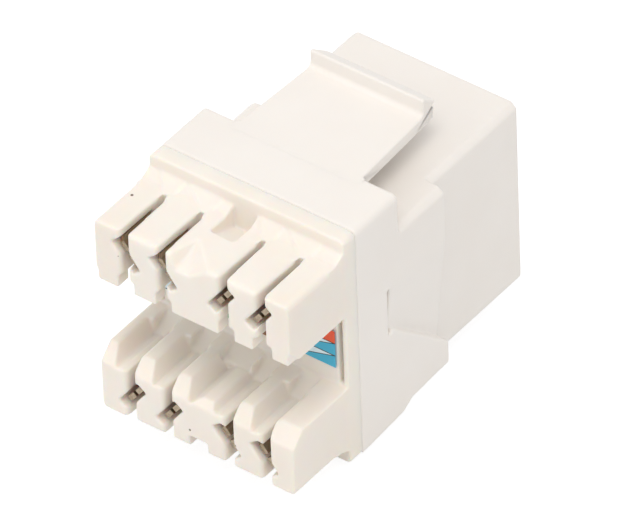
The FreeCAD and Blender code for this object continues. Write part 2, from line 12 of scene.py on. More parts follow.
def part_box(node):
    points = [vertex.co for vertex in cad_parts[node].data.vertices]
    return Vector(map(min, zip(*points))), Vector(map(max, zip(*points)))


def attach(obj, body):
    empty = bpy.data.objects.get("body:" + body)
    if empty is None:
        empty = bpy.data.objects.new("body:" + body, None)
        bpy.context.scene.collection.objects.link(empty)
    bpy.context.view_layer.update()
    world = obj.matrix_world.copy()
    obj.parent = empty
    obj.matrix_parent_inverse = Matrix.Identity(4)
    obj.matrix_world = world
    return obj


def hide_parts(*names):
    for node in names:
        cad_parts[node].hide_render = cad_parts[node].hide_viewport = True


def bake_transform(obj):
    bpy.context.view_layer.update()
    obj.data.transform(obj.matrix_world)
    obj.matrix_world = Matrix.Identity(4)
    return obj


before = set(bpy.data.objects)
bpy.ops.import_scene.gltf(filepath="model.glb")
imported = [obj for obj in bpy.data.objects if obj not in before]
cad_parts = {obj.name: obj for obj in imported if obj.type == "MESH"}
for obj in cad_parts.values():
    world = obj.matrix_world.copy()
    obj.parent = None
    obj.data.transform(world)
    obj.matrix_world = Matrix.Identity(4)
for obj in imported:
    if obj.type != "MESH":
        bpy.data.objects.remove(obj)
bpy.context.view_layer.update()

LOG = logging.getLogger("keystone_jack")
MM = 0.001


class WireColour(Enum):
    """The four pair colours of the wiring code."""

    GREEN = (0.10, 0.42, 0.16)
    BLUE = (0.05, 0.44, 0.66)
    ORANGE = (0.80, 0.085, 0.025)
    BROWN = (0.25, 0.11, 0.05)


# ---------------------------------------------------------------- shared effects


def new_group(name: str, inputs: dict[str, tuple[str, object]],
              outputs: dict[str, str]) -> bpy.types.NodeTree:
    """Make an empty shader node group with named sockets.

    Args:
        name: the group's name.
        inputs: for each input socket, its type and its default value.
        outputs: for each output socket, its type.

    Returns:
        The group, holding one Group Input and one Group Output node.
    """
    group = bpy.data.node_groups.new(name, "ShaderNodeTree")
    for label, (kind, value) in inputs.items():
        socket = group.interface.new_socket(label, in_out="INPUT", socket_type=kind)
        socket.default_value = value
    for label, kind in outputs.items():
        group.interface.new_socket(label, in_out="OUTPUT", socket_type=kind)
    group.nodes.new("NodeGroupInput")
    group.nodes.new("NodeGroupOutput")
    return group


def add_node(tree: bpy.types.NodeTree, kind: str, settings: dict[str, object] | None = None,
             **sockets: object) -> bpy.types.Node:
    """Add a node, set its options, and fill or link its inputs.

    Args:
        tree: the node tree that gets the node.
        kind: the node's type.
        settings: options set on the node itself.
        **sockets: a value or an output socket for each input, by name with _ for a space, or
            in_N for the input at place N.

    Returns:
        The new node.
    """
    node = tree.nodes.new(kind)
    for option, value in (settings or {}).items():
        setattr(node, option, value)
    for label, value in sockets.items():
        if label.startswith("in_"):
            socket = node.inputs[int(label[3:])]
        else:
            socket = node.inputs[label.replace("_", " ")]
        if isinstance(value, bpy.types.NodeSocket):
            tree.links.new(value, socket)
        else:
            socket.default_value = value
    return node


def group_ends(group: bpy.types.NodeTree) -> tuple[bpy.types.Node, bpy.types.Node]:
    """Return a group's input and output nodes."""
    return group.nodes["Group Input"], group.nodes["Group Output"]


def tone_drift_group() -> bpy.types.NodeTree:
    """Slow drift of a moulding's colour: a mix of two tones by large soft noise."""
    group = new_group(
        "tone_drift",
        {"Vector": ("NodeSocketVector", (0, 0, 0)), "Tone": ("NodeSocketColor", (0.8, 0.8, 0.8, 1)),
         "Second Tone": ("NodeSocketColor", (0.7, 0.7, 0.7, 1)), "Scale": ("NodeSocketFloat", 120.0)},
        {"Color": "NodeSocketColor"})
    start, end = group_ends(group)
    noise = add_node(group, "ShaderNodeTexNoise", Vector=start.outputs["Vector"],
                     Scale=start.outputs["Scale"], Detail=3.0, Roughness=0.55)
    ramp = add_node(group, "ShaderNodeMapRange", Value=noise.outputs["Fac"], From_Min=0.36, From_Max=0.66)
    mix = add_node(group, "ShaderNodeMix", {"data_type": "RGBA"}, in_0=ramp.outputs["Result"],
                   in_6=start.outputs["Tone"], in_7=start.outputs["Second Tone"])
    group.links.new(mix.outputs[2], end.inputs["Color"])
    return group


def mould_skin_group() -> bpy.types.NodeTree:
    """Fine skin of moulded plastic: a spark-eroded grain as bump height and a roughness shift."""
    group = new_group(
        "mould_skin",
        {"Vector": ("NodeSocketVector", (0, 0, 0)), "Grain Scale": ("NodeSocketFloat", 9000.0),
         "Roughness": ("NodeSocketFloat", 0.45), "Roughness Spread": ("NodeSocketFloat", 0.08)},
        {"Height": "NodeSocketFloat", "Roughness": "NodeSocketFloat"})
    start, end = group_ends(group)
    fine = add_node(group, "ShaderNodeTexNoise", Vector=start.outputs["Vector"],
                    Scale=start.outputs["Grain Scale"], Detail=4.0, Roughness=0.6)
    broad = add_node(group, "ShaderNodeTexNoise", Vector=start.outputs["Vector"], Scale=450.0,
                     Detail=3.0)
    wave = add_node(group, "ShaderNodeMath", {"operation": "MULTIPLY"}, in_0=broad.outputs["Fac"], in_1=0.6)
    height = add_node(group, "ShaderNodeMath", {"operation": "ADD"}, in_0=fine.outputs["Fac"],
                      in_1=wave.outputs["Value"])
    centred = add_node(group, "ShaderNodeMath", {"operation": "SUBTRACT"}, in_0=broad.outputs["Fac"],
                       in_1=0.5)
    rough = add_node(group, "ShaderNodeMath", {"operation": "MULTIPLY_ADD"}, in_0=centred.outputs["Value"],
                     in_1=start.outputs["Roughness Spread"], in_2=start.outputs["Roughness"])
    group.links.new(height.outputs["Value"], end.inputs["Height"])
    group.links.new(rough.outputs["Value"], end.inputs["Roughness"])
    return group


def dust_specks_group() -> bpy.types.NodeTree:
    """Sparse dark specks: small round cells whose random value passes a threshold."""
    group = new_group(
        "dust_specks",
        {"Vector": ("NodeSocketVector", (0, 0, 0)), "Color": ("NodeSocketColor", (0.8, 0.8, 0.8, 1)),
         "Speck Color": ("NodeSocketColor", (0.2, 0.15, 0.1, 1)), "Density": ("NodeSocketFloat", 0.02),
         "Size": ("NodeSocketFloat", 0.08)},
        {"Color": "NodeSocketColor"})
    start, end = group_ends(group)
    cells = add_node(group, "ShaderNodeTexVoronoi", Vector=start.outputs["Vector"], Scale=420.0)
    dot = add_node(group, "ShaderNodeMath", {"operation": "LESS_THAN"}, in_0=cells.outputs["Distance"],
                   in_1=start.outputs["Size"])
    chance = add_node(group, "ShaderNodeSeparateColor", Color=cells.outputs["Color"])
    chosen = add_node(group, "ShaderNodeMath", {"operation": "LESS_THAN"}, in_0=chance.outputs["Red"],
                      in_1=start.outputs["Density"])
    mask = add_node(group, "ShaderNodeMath", {"operation": "MULTIPLY"}, in_0=dot.outputs["Value"],
                    in_1=chosen.outputs["Value"])
    mix = add_node(group, "ShaderNodeMix", {"data_type": "RGBA"}, in_0=mask.outputs["Value"],
                   in_6=start.outputs["Color"], in_7=start.outputs["Speck Color"])
    group.links.new(mix.outputs[2], end.inputs["Color"])
    return group


def placed_speck_group() -> bpy.types.NodeTree:
    """One speck at a given place: the mark's colour within a radius of that place."""
    group = new_group(
        "placed_speck",
        {"Vector": ("NodeSocketVector", (0, 0, 0)), "Place": ("NodeSocketVector", (0, 0, 0)),
         "Radius": ("NodeSocketFloat", 0.0001), "Color": ("NodeSocketColor", (0.8, 0.8, 0.8, 1)),
         "Speck Color": ("NodeSocketColor", (0.16, 0.11, 0.07, 1))},
        {"Color": "NodeSocketColor"})
    start, end = group_ends(group)
    reach = add_node(group, "ShaderNodeVectorMath", {"operation": "DISTANCE"}, in_0=start.outputs["Vector"],
                     in_1=start.outputs["Place"])
    inside = add_node(group, "ShaderNodeMath", {"operation": "LESS_THAN"}, in_0=reach.outputs["Value"],
                      in_1=start.outputs["Radius"])
    mix = add_node(group, "ShaderNodeMix", {"data_type": "RGBA"}, in_0=inside.outputs["Value"],
                   in_6=start.outputs["Color"], in_7=start.outputs["Speck Color"])
    group.links.new(mix.outputs[2], end.inputs["Color"])
    return group


class Effects:
    """The node groups that several finishes share, each built once."""

    def __init__(self) -> None:
        """Build the four shared groups."""
        self.placed_speck = placed_speck_group()
        self.tone_drift = tone_drift_group()
        self.mould_skin = mould_skin_group()
        self.dust_specks = dust_specks_group()


# ---------------------------------------------------------------- finishes


def principled(name: str) -> tuple[bpy.types.Material, bpy.types.NodeTree, bpy.types.Node]:
    """Make a material.

    Args:
        name: the material's name.

    Returns:
        The material, its node tree and its Principled BSDF.
    """
    material = bpy.data.materials.new(name)
    material.use_nodes = True
    return material, material.node_tree, material.node_tree.nodes["Principled BSDF"]


def refinish(node: str, material: bpy.types.Material) -> None:
    """Give a CAD node one material and log it."""
    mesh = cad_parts[node].data
    mesh.materials.clear()
    mesh.materials.append(material)
    LOG.info("%s has the finish %s", node, material.name)


@dataclass(frozen=True)
class MouldedPlastic:
    """An opaque moulded plastic with a little light passing under its skin."""

    name: str
    tone: tuple[float, float, float]
    second_tone: tuple[float, float, float]
    roughness: float = 0.42
    scatter: float = 0.25
    specks: float = 0.012
    grain_depth: float = 0.000003
    drift_scale: float = 140.0
    glow_depth: float = 0.9
    glow: tuple[float, float, float] = (1.0, 0.75, 0.5)
    marks: tuple[tuple[float, float, float, float], ...] = ()

    def material(self, effects: Effects) -> bpy.types.Material:
        """Build the material.

        Args:
            effects: the shared node groups.

        Returns:
            The plastic's material, reading Object coordinates.
        """
        material, tree, shader = principled(self.name)
        place = add_node(tree, "ShaderNodeTexCoord").outputs["Object"]
        drift = add_node(tree, "ShaderNodeGroup", {"node_tree": effects.tone_drift}, Vector=place,
                         Tone=(*self.tone, 1), Second_Tone=(*self.second_tone, 1),
                         Scale=self.drift_scale)
        specks = add_node(tree, "ShaderNodeGroup", {"node_tree": effects.dust_specks}, Vector=place,
                          Color=drift.outputs["Color"], Density=self.specks)
        skin = add_node(tree, "ShaderNodeGroup", {"node_tree": effects.mould_skin}, Vector=place,
                        Roughness=self.roughness)
        bump = add_node(tree, "ShaderNodeBump", Height=skin.outputs["Height"], Distance=self.grain_depth,
                        Strength=1.0)
        colour = specks.outputs["Color"]
        for *spot, radius in self.marks:
            mark = add_node(tree, "ShaderNodeGroup", {"node_tree": effects.placed_speck}, Vector=place,
                            Place=Vector(spot) * MM, Radius=radius * MM, Color=colour)
            colour = mark.outputs["Color"]
        tree.links.new(colour, shader.inputs["Base Color"])
        tree.links.new(skin.outputs["Roughness"], shader.inputs["Roughness"])
        tree.links.new(bump.outputs["Normal"], shader.inputs["Normal"])
        shader.inputs["Subsurface Weight"].default_value = self.scatter
        shader.inputs["Subsurface Radius"].default_value = self.glow
        shader.inputs["Subsurface Scale"].default_value = self.glow_depth * MM
        shader.inputs["IOR"].default_value = 1.5
        return material


@dataclass(frozen=True)
class PlatedMetal:
    """A plated sheet metal with faint rolling marks."""

    name: str
    tone: tuple[float, float, float]
    second_tone: tuple[float, float, float]
    roughness: float = 0.3
    streak: tuple[float, float, float] = (6.0, 0.6, 6.0)
    drift_scale: float = 600.0
    grain_scale: float = 1500.0
    grain_depth: float = 0.000006
    spread: float = 0.3

    def material(self, effects: Effects) -> bpy.types.Material:
        """Build the material.

        Args:
            effects: the shared node groups.

        Returns:
            The metal's material, reading Object coordinates.
        """
        material, tree, shader = principled(self.name)
        place = add_node(tree, "ShaderNodeTexCoord").outputs["Object"]
        streaks = add_node(tree, "ShaderNodeMapping", Vector=place, Scale=self.streak)
        drift = add_node(tree, "ShaderNodeGroup", {"node_tree": effects.tone_drift},
                         Vector=streaks.outputs["Vector"], Tone=(*self.tone, 1),
                         Second_Tone=(*self.second_tone, 1), Scale=self.drift_scale)
        skin = add_node(tree, "ShaderNodeGroup", {"node_tree": effects.mould_skin},
                        Vector=streaks.outputs["Vector"], Grain_Scale=self.grain_scale,
                        Roughness=self.roughness, Roughness_Spread=self.spread)
        bump = add_node(tree, "ShaderNodeBump", Height=skin.outputs["Height"], Distance=self.grain_depth)
        tree.links.new(drift.outputs["Color"], shader.inputs["Base Color"])
        tree.links.new(skin.outputs["Roughness"], shader.inputs["Roughness"])
        tree.links.new(bump.outputs["Normal"], shader.inputs["Normal"])
        shader.inputs["Metallic"].default_value = 1.0
        return material


@dataclass(frozen=True)
class PrintedCard:
    """A glossy printed card whose colours come from the piece's own attribute."""

    name: str
    attribute: str = "print_colour"
    roughness: float = 0.35
    grain_scale: float = 4000.0
    grain_depth: float = 0.000002

    def material(self, effects: Effects) -> bpy.types.Material:
        """Build the material.

        Args:
            effects: the shared node groups.

        Returns:
            The card's material, reading the piece's colour attribute.
        """
        material, tree, shader = principled(self.name)
        ink = add_node(tree, "ShaderNodeAttribute", {"attribute_name": self.attribute})
        place = add_node(tree, "ShaderNodeTexCoord").outputs["Object"]
        skin = add_node(tree, "ShaderNodeGroup", {"node_tree": effects.mould_skin}, Vector=place,
                        Grain_Scale=self.grain_scale, Roughness=self.roughness)
        bump = add_node(tree, "ShaderNodeBump", Height=skin.outputs["Height"], Distance=self.grain_depth)
        tree.links.new(ink.outputs["Color"], shader.inputs["Base Color"])
        tree.links.new(skin.outputs["Roughness"], shader.inputs["Roughness"])
        tree.links.new(bump.outputs["Normal"], shader.inputs["Normal"])
        return material


# ---------------------------------------------------------------- meshes


def new_piece(name: str, points: np.ndarray, faces: list, material: bpy.types.Material,
              body: str) -> bpy.types.Object:
    """Make a piece from points in metres and faces, and let it ride on a body.

    Args:
        name: the piece's name.
        points: an array of points, one row each.
        faces: the faces, as lists of point numbers.
        material: the finish.
        body: the CAD body that carries it, or an empty text for a piece that rides on no body.

    Returns:
        The piece's object, at the origin.
    """
    mesh = bpy.data.meshes.new(name)
    mesh.from_pydata(points, [], faces)
    mesh.materials.append(material)
    mesh.shade_smooth()
    piece = bpy.data.objects.new(name, mesh)
    bpy.context.collection.objects.link(piece)
    if body:
        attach(piece, body)
    return piece


def grid_faces(rows: int, columns: int, closed: bool) -> np.ndarray:
    """Quads of a grid of points numbered row by row.

    Args:
        rows: how many rows of points.
        columns: how many points in a row.
        closed: whether each row's last point joins its first.

    Returns:
        One row of four point numbers for each quad.
    """
    last = columns if closed else columns - 1
    row, column = np.meshgrid(np.arange(rows - 1), np.arange(last), indexing="ij")
    following = (column + 1) % columns
    quads = np.stack([row * columns + column, row * columns + following,
                      (row + 1) * columns + following, (row + 1) * columns + column], -1)
    return quads.reshape(-1, 4)


@dataclass(frozen=True)
class Softness:
    """How a moulding's edges and inner corners are rounded. Sizes in millimetres."""

    grain: float
    passes: int
    keep: float


Span = tuple[float, float]
Corners = list[tuple[float, float, float]]
JOIN_DISTANCE = 0.003


def wedge(x_front: Span, x_rear: Span, front_y: float, rear_y: float, z_front: Span, z_rear: Span) -> Corners:
    """Find the corners of a tapered block that lies along Y, in millimetres.

    Args:
        x_front: the front face's two ends in X.
        x_rear: the rear face's two ends in X.
        front_y: where the front face lies.
        rear_y: where the rear face lies.
        z_front: the front face's two ends in Z.
        z_rear: the rear face's two ends in Z.

    Returns:
        The block's eight corners.
    """
    return [(x, y, z) for across, y, up in ((x_front, front_y, z_front), (x_rear, rear_y, z_rear))
            for x in across for z in up]


def add_solids(work: bmesh.types.BMesh, solids: list[Corners]) -> None:
    """Add a closed convex solid to a mesh for each list of corners.

    Args:
        work: the mesh that gets the solids.
        solids: each solid's corners, in millimetres.
    """
    for corners in solids:
        points = [work.verts.new(Vector(corner) * MM) for corner in corners]
        bmesh.ops.convex_hull(work, input=points)


def carved(mesh: bpy.types.Mesh, solids: list[Corners]) -> bpy.types.Mesh:
    """Cut convex solids, which may overlap, out of a closed mesh.

    Args:
        mesh: the mesh to cut.
        solids: each solid's corners, in millimetres.

    Returns:
        The mesh that is left.
    """
    work = bmesh.new()
    add_solids(work, solids)
    bmesh.ops.recalc_face_normals(work, faces=work.faces)
    tool_mesh = bpy.data.meshes.new(mesh.name + "_tool")
    work.to_mesh(tool_mesh)
    work.free()
    whole = bpy.data.objects.new(mesh.name + "_whole", mesh)
    tool = bpy.data.objects.new(mesh.name + "_tool", tool_mesh)
    for thing in (whole, tool):
        bpy.context.collection.objects.link(thing)
    step = whole.modifiers.new("cut", "BOOLEAN")
    step.operation, step.solver, step.object = "DIFFERENCE", "EXACT", tool
    step.use_self = True
    left = bpy.data.meshes.new_from_object(whole.evaluated_get(bpy.context.evaluated_depsgraph_get()))
    for thing in (whole, tool):
        bpy.data.objects.remove(thing)
    return left


def merged_mesh(node: str, name: str, cut: list[Corners], added: list[Corners]) -> bpy.types.Mesh:
    """Copy a CAD node's mesh, join its triangles, cut solids away and add others.

    Args:
        node: the CAD node's name.
        name: the new mesh's name.
        cut: the corners of each convex solid that is taken away.
        added: the corners of each convex solid that is added.

    Returns:
        The new mesh.
    """
    work = bmesh.new()
    work.from_mesh(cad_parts[node].data)
    bmesh.ops.remove_doubles(work, verts=work.verts, dist=JOIN_DISTANCE * MM)
    mesh = bpy.data.meshes.new(name)
    work.to_mesh(mesh)
    work.clear()
    if cut:
        mesh = carved(mesh, cut)
    work.from_mesh(mesh)
    add_solids(work, added)
    work.to_mesh(mesh)
    work.free()
    return mesh


def softened_copy(node: str, name: str, material: bpy.types.Material, softness: Softness,
                  cut: list[Corners] | None = None,
                  added: list[Corners] | None = None) -> bpy.types.Object:
    """Copy a CAD node, shape its fine forms, and round every edge and inner corner.

    The copy is sampled on a fine grid, relaxed, and then thinned where it is flat.

    Args:
        node: the CAD node's name.
        name: the copy's name.
        material: the copy's finish.
        softness: the grid's step, the number of relaxing passes and the share of faces kept.
        cut: convex solids taken away before the rounding.
        added: convex solids added before the rounding.

    Returns:
        The copy, riding on the main body in the node's place.
    """
    mesh = merged_mesh(node, name, cut or [], added or [])
    mesh.materials.clear()
    mesh.materials.append(material)
    piece = bpy.data.objects.new(name, mesh)
    bpy.context.collection.objects.link(piece)
    sampled = piece.modifiers.new("sampled", "REMESH")
    sampled.mode = "VOXEL"
    sampled.voxel_size = softness.grain * MM
    sampled.use_smooth_shade = True
    relaxed = piece.modifiers.new("relaxed", "SMOOTH")
    relaxed.factor = 0.5
    relaxed.iterations = softness.passes
    thinned = piece.modifiers.new("thinned", "DECIMATE")
    thinned.ratio = softness.keep
    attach(piece, "main")
    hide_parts(node)
    LOG.info("%s stands for %s", name, node)
    return piece


# ---------------------------------------------------------------- sub-assemblies


@dataclass
class FrontHousing:
    """The front moulding: block, catch, shoulders and collar."""

    finish: MouldedPlastic = MouldedPlastic("housing_plastic", (0.88, 0.845, 0.805), (0.865, 0.825, 0.78),
                                            scatter=0.06,
                                            marks=((8.55, 7.94, 7.12, 0.08), (8.55, 10.33, 8.25, 0.07)))
    softness: Softness = Softness(0.11, 8, 0.38)

    def dress(self, effects: Effects) -> bpy.types.Material:
        """Give the housing its finish and soft edges, and return the finish for the tongue."""
        material = self.finish.material(effects)
        softened_copy("jack_housing", "front_moulding", material, self.softness)
        return material


@dataclass
class SnapTongue:
    """The snap tongue as one moulding, from the collar to its lip. Sizes in millimetres."""

    root_half: float = 5.4
    tip_half: float = 4.9
    thick: float = 1.0
    lip_height: float = 1.45
    ramp_run: float = 1.7
    ramp_drop: float = 1.15
    nose_run: float = 0.6
    fillet: float = 0.45
    edge_round: float = 0.14
    corner_round: float = 0.45
    root_flare: float = 0.3
    overlap: float = 0.95
    lift: float = 0.002
    end_depth: float = 0.6
    end_sink: float = 0.01
    end_run: float = 0.35
    lip_round: float = 0.15
    tip_round: float = 0.18
    nose_round: float = 0.2
    under_round: float = 0.25
    under_lap: float = 0.45
    hold_run: float = 0.4
    bend_lead: float = 0.1
    bend_run: float = 3.0

    def build(self, material: bpy.types.Material) -> bpy.types.Object:
        """Build the tongue.

        The side view is a closed outline with rounded corners. It is carried across X in
        stations: near each side it draws in along a quarter circle, which rounds the long edges,
        and its half width follows the plan view.

        Args:
            material: the housing's finish.

        Returns:
            The tongue's object.
        """
        low, high = (np.array(corner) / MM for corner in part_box("latch_tongue"))
        root_y = low[1] + self.thick / 2
        line, inward = self._side_view(root_y, high[1], high[2] - self.lip_height)
        turn = np.linspace(0, np.pi / 2, 7)
        draw = self.edge_round * (1 - np.cos(turn[1:]))
        middle = np.linspace(-1, 1, 15)
        share = np.concatenate([-np.ones(6), middle, np.ones(6)])
        pull = np.concatenate([draw[::-1], np.zeros(15), draw])
        out = self.edge_round * np.sin(turn[1:]) - self.edge_round
        widen = np.concatenate([out[::-1], np.full(15, -self.edge_round), out])
        half = self._half_width(line[:, 0], root_y, high[1])
        across = share[:, None] * (half[None, :] + widen[:, None])
        held = np.clip((line[:, 0] - root_y) / self.hold_run, 0, 1)
        section = line[None] + inward[None] * (pull[:, None] * held[None, :])[:, :, None]
        grid = np.concatenate([across[:, :, None], section], -1)
        return self._finish(grid, material)

    def _side_view(self, root_y: float, nose_y: float, top_z: float) -> tuple[np.ndarray, np.ndarray]:
        """Outline of the side view: its points, and the unit vectors that point into it."""
        lip_y, under_z = nose_y - self.ramp_run, top_z - self.thick
        peak_z = top_z + self.lip_height
        rear_y = root_y - self.overlap
        flare = root_y + self.root_flare * (1 - np.cos(np.linspace(0, np.pi / 2, 7)))
        stops = np.concatenate([flare, np.linspace(flare[-1], lip_y - self.fillet - 0.2, 18)[1:]])
        ramp = [(y, peak_z - self.ramp_drop * (y - lip_y) / self.ramp_run, 0)
                for y in nose_y - self.corner_round * np.array([1.0, 0.8, 0.6, 0.4])]
        corners = [(rear_y, top_z - self.end_depth, 0), (rear_y, top_z - self.end_sink, 0),
                   (rear_y + self.end_run, top_z + self.lift, 0)]
        corners += [(y, top_z + self.lift, 0) for y in stops]
        corners += [(lip_y, top_z + self.lift, self.fillet), (lip_y, peak_z + 0.1, self.lip_round), *ramp,
                    (nose_y, peak_z - self.ramp_drop, self.tip_round),
                    (nose_y, under_z + self.nose_run, self.nose_round),
                    (nose_y - self.nose_run, under_z, self.under_round)]
        corners += [(y, under_z, 0) for y in stops[::-1]]
        corners += [(root_y - self.under_lap, under_z, 0),
                    (root_y - self.under_lap, top_z - self.end_depth, 0)]
        return rounded_outline(np.array(corners))

    def _half_width(self, along: np.ndarray, root_y: float, nose_y: float) -> np.ndarray:
        """Plan view: a straight taper, a concave flare at the root and round corners at the nose."""
        share = np.clip((along - root_y) / (nose_y - root_y), 0, 1)
        half = self.root_half + (self.tip_half - self.root_half) * share
        near_root = np.clip(1 - (along - root_y) / self.root_flare, 0, 1)
        half = half + self.root_flare * (1 - np.sqrt(1 - near_root ** 2))
        near_nose = np.clip(1 - (nose_y - along) / self.corner_round, 0, 1)
        return half - self.corner_round * (1 - np.sqrt(1 - near_nose ** 2))

    def _finish(self, grid: np.ndarray, material: bpy.types.Material) -> bpy.types.Object:
        """Close the grid's two sides and make the piece, which rides on no body."""
        rows, columns = grid.shape[:2]
        faces = grid_faces(rows, columns, closed=True).tolist()
        faces.append(list(range(columns))[::-1])
        faces.append(list(range((rows - 1) * columns, rows * columns)))
        piece = new_piece("snap_tongue", grid.reshape(-1, 3) * MM, faces, material, "")
        fix_normals(piece)
        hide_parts("latch_tongue")
        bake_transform(piece)
        return piece


def rounded_outline(corners: np.ndarray, steps: int = 7) -> tuple[np.ndarray, np.ndarray]:
    """Round the corners of a closed outline.

    Each corner with a radius becomes an arc that touches both of its sides. Each other corner
    stays one point, whose inward vector halves its angle.

    Args:
        corners: one row for each corner, with its two coordinates and its radius, clockwise.
        steps: how many points make each arc.

    Returns:
        The outline's points and the unit vectors that point into it.
    """
    places, radii = corners[:, :2], corners[:, 2]
    before = places - np.roll(places, 1, 0)
    before /= np.linalg.norm(before, axis=1, keepdims=True)
    after = np.roll(before, -1, 0)
    points, inward = [], []
    for place, radius, come, leave in zip(places, radii, before, after):
        first, last = np.array([come[1], -come[0]]), np.array([leave[1], -leave[0]])
        bend = math.atan2(come[0] * leave[1] - come[1] * leave[0], float(come @ leave))
        if radius == 0:
            middle = (first + last) / max(float(np.linalg.norm(first + last)), 1e-9)
            points.append(place[None])
            inward.append(middle[None])
            continue
        start = place - come * radius * math.tan(abs(bend) / 2)
        side = -math.copysign(1.0, bend)
        centre = start + first * side * radius
        turn = np.linspace(0, bend, steps)[:, None]
        normal = first * np.cos(turn) + np.array([-first[1], first[0]]) * np.sin(turn)
        points.append(centre - normal * side * radius)
        inward.append(normal)
    return np.concatenate(points), np.concatenate(inward)


def fix_normals(piece: bpy.types.Object) -> None:
    """Turn every face of a closed piece outwards."""
    work = bmesh.new()
    work.from_mesh(piece.data)
    bmesh.ops.remove_doubles(work, verts=work.verts, dist=1e-7)
    bmesh.ops.recalc_face_normals(work, faces=work.faces)
    work.to_mesh(piece.data)
    work.free()
    piece.data.shade_smooth()
    piece.data.set_sharp_from_angle(angle=math.radians(35))


@dataclass
class WiringBlock:
    """The rear moulding with its two rows of fins. Sizes in millimetres."""

    finish: MouldedPlastic = MouldedPlastic(
        "block_plastic", (0.89, 0.84, 0.78), (0.87, 0.81, 0.735), scatter=0.5, glow=(1.0, 0.62, 0.36),
        marks=((-7.86, -10.745, 19.68, 0.11), (-2.36, -10.215, 19.68, 0.1), (-6.44, -14.375, 17.2, 0.1),
               (-0.29, -14.3, 19.0, 0.14), (-0.69, -14.375, 3.97, 0.09), (4.28, -14.375, 6.73, 0.12),
               (3.31, -14.375, 4.47, 0.09)))
    softness: Softness = Softness(0.1, 9, 0.42)
    row_mid: float = 11.0
    row_outer: float = 8.68
    row_inner: float = 3.23
    row_half: float = 8.5
    row_tip: float = -14.375
    flange_rear: float = -7.875
    flange_lap: float = 0.15
    slit_axes: tuple[float, ...] = (-5.98, -2.70, 2.70, 5.98)
    slit_pitch: float = 3.28
    slit_half: float = 0.25
    slit_end: float = -9.3
    slit_run: float = 0.7
    slit_deep: float = 5.6
    slit_cover: float = 0.02
    clear_half: float = 9.5
    clear_high: float = 2.5
    clear_long: float = 2.2
    window_half: float = 1.05
    window_rim: float = 0.15
    root_sink: float = 0.2
    foot_high: float = 0.5
    foot_long: float = 0.9
    mound_high: float = 0.58
    mound_long: float = 1.2
    mound_tip_high: float = 0.06
    mound_tip_left: float = 0.5
    mound_tip_right: float = 0.45
    mound_inset: float = 0.9
    valley: float = 0.85
    valley_half: float = 1.0
    ledge_floor: float = 4.53
    ledge_left: float = 1.25
    step_floor: float = 4.0
    step_half: float = 1.3
    fade_lap: float = 0.2
    fade_end: float = -9.9
    fade_start: float = 0.02
    fade_clear: float = 0.1
    nose: float = 1.3
    nose_gap: float = 0.05
    fin_fronts: tuple[Span, ...] = ((-8.35, -6.6), (-5.2, -3.3), (-1.9, 2.2), (3.6, 5.2), (6.9, 8.35))

    def dress(self, effects: Effects) -> None:
        """Give the wiring block its finish and soft forms."""
        cut, added = [], []
        for level in (-1, 1):
            cut += self._cleared_roots(level) + self._slit_ends(level) + self._faded_grooves(level)
            added += self._feet(level) + self._mounds(level)
        softened_copy("idc_block", "rear_moulding", self.finish.material(effects), self.softness,
                      cut, added + self._fin_noses())

    def _out(self, level: int, rise: float) -> float:
        """Height of a point outside a row's outer face, on the upper (1) or lower (-1) row."""
        return self.row_mid + level * (self.row_outer + rise)

    def _in(self, level: int, depth: float) -> float:
        """Height of a point that far from the middle between the rows."""
        return self.row_mid + level * depth

    def _cleared_roots(self, level: int) -> list[Corners]:
        """What is cut from a row's outer face to clear the plain root ramps."""
        across = (-self.clear_half, self.clear_half)
        span = (self._out(level, 0.0), self._out(level, self.clear_high))
        return [wedge(across, across, self.flange_rear, self.flange_rear - self.clear_long, span, span)]

    def _slit_ends(self, level: int) -> list[Corners]:
        """What is cut at each slit's closed end to bring it nearer to the flange."""
        span = (self._out(level, -self.slit_cover), self._out(level, -self.slit_deep))
        sides = [(axis - self.slit_half, axis + self.slit_half) for axis in self.slit_axes]
        return [wedge(side, side, self.slit_end, self.slit_end - self.slit_run, span, span) for side in sides]

    def _faded_grooves(self, level: int) -> list[Corners]:
        """What is cut so that a row's inner grooves rise slowly to the flange."""
        grooves = [(axis - self.ledge_left, axis + self.slit_half, self.ledge_floor)
                   for axis in self.slit_axes] + [(-self.step_half, self.step_half, self.step_floor)]
        open_side = self._in(level, self.row_inner - self.fade_clear)
        shallow = (self._in(level, self.row_inner + self.fade_start), open_side)
        return [wedge((left, right), (left, right), self.flange_rear - self.fade_lap, self.fade_end,
                      shallow, (self._in(level, floor), open_side)) for left, right, floor in grooves]

    def _feet(self, level: int) -> list[Corners]:
        """The low foot along the flange, one piece on each side of the window."""
        base = self._out(level, -self.root_sink)
        sides = ((-self.row_half, -self.window_half), (self.window_half, self.row_half))
        return [wedge(side, side, self.flange_rear + self.flange_lap, self.flange_rear - self.foot_long,
                      (base, self._out(level, self.foot_high)), (base, self._out(level, 0.0)))
                for side in sides]

    def _mounds(self, level: int) -> list[Corners]:
        """The mound before each slit's closed end, with a valley between two mounds."""
        base = self._out(level, -self.root_sink)
        rim = self.window_half + self.window_rim
        solids = []
        for axis in self.slit_axes:
            left = max(axis + self.valley - self.slit_pitch, -self.row_half + self.mound_inset)
            right = axis + self.valley
            if left < self.window_half < axis:
                left = rim
            if axis < 0 < right + self.valley_half:
                right = min(right, -rim)
            solids.append(wedge((left, right), (axis - self.mound_tip_left, axis + self.mound_tip_right),
                                self.flange_rear + self.flange_lap, self.flange_rear - self.mound_long,
                                (base, self._out(level, self.mound_high)),
                                (base, self._out(level, self.mound_tip_high))))
        return solids

